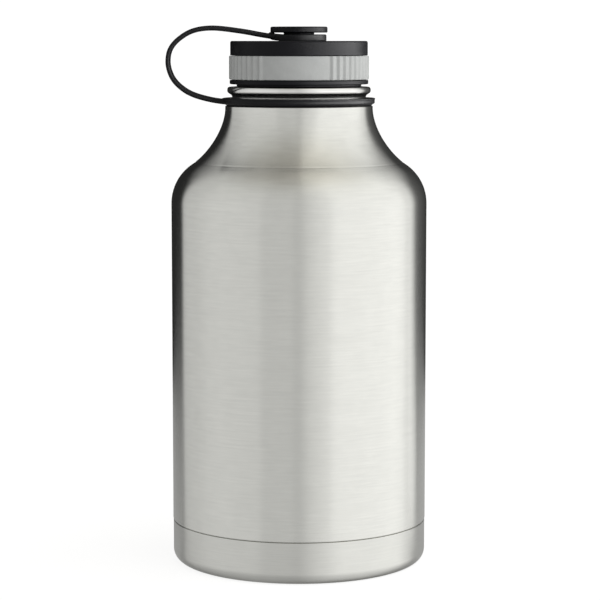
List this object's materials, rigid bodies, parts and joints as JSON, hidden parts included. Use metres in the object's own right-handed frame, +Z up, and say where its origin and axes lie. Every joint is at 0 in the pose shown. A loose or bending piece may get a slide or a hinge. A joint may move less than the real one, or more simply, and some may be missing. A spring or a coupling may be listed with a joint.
{
  "type": "growler",
  "caption": "Double-walled steel beer growler with a waisted neck, an insulated screw cap with a grip band, and a silicone tether from neck collar to cap button.",
  "frame": {"origin": "on the bottle's axis, in the plane of the foot ring that it stands on", "axes": "+Z up along the bottle's axis, -Y towards the front, the tether's loop on the -X side"},
  "size_m": [0.1276, 0.125, 0.2635],
  "materials": {
    "shell_steel": "satin, brushed round the body",
    "liner_steel": "satin",
    "solder_glass": "matte",
    "foil_copper": "polished",
    "getter_metal": "matte",
    "black_silicone": "matte",
    "seal_silicone": "matte",
    "black_plastic": "satin",
    "grey_grip": "matte",
    "foam": "matte",
    "screw_steel": "satin"
  },
  "bodies": {
    "bottle": {"outer_shell": "shell_steel", "base_cup": "shell_steel", "base_cover_disc": "shell_steel", "vacuum_seal_bead": "solder_glass", "inner_vessel": "liner_steel", "inner_base_dish": "liner_steel", "reflective_foil": "foil_copper", "getter_pellet": "getter_metal", "getter_clip": "liner_steel", "neck_ring": "shell_steel", "tether_lower": "black_silicone"},
    "tether_top": {"tether_upper": "black_silicone"},
    "cap": {"cap_inner_body": "black_plastic", "grip_band": "grey_grip", "cap_top_cover": "black_plastic", "cap_gasket": "seal_silicone", "cap_plug_cup": "black_plastic", "cap_insulation": "foam", "pivot_button": "black_plastic", "pivot_screw": "screw_steel", "pivot_washer": "screw_steel"}
  },
  "joints": [
    {"name": "cap_lift", "type": "slide", "parent": "bottle", "child": "tether_top", "axis": [0, 0, 1], "range_m": [0, 0.0212]},
    {"name": "cap_turn", "type": "hinge", "parent": "tether_top", "child": "cap", "pos_m": [0, 0, 0.25], "axis": [0, 0, 1], "range_deg": [0, 900]}
  ],
  "couplings": [
    {"joint": "cap_lift", "follows": "cap_turn", "m_per_rad": 0.0013369}
  ]
}
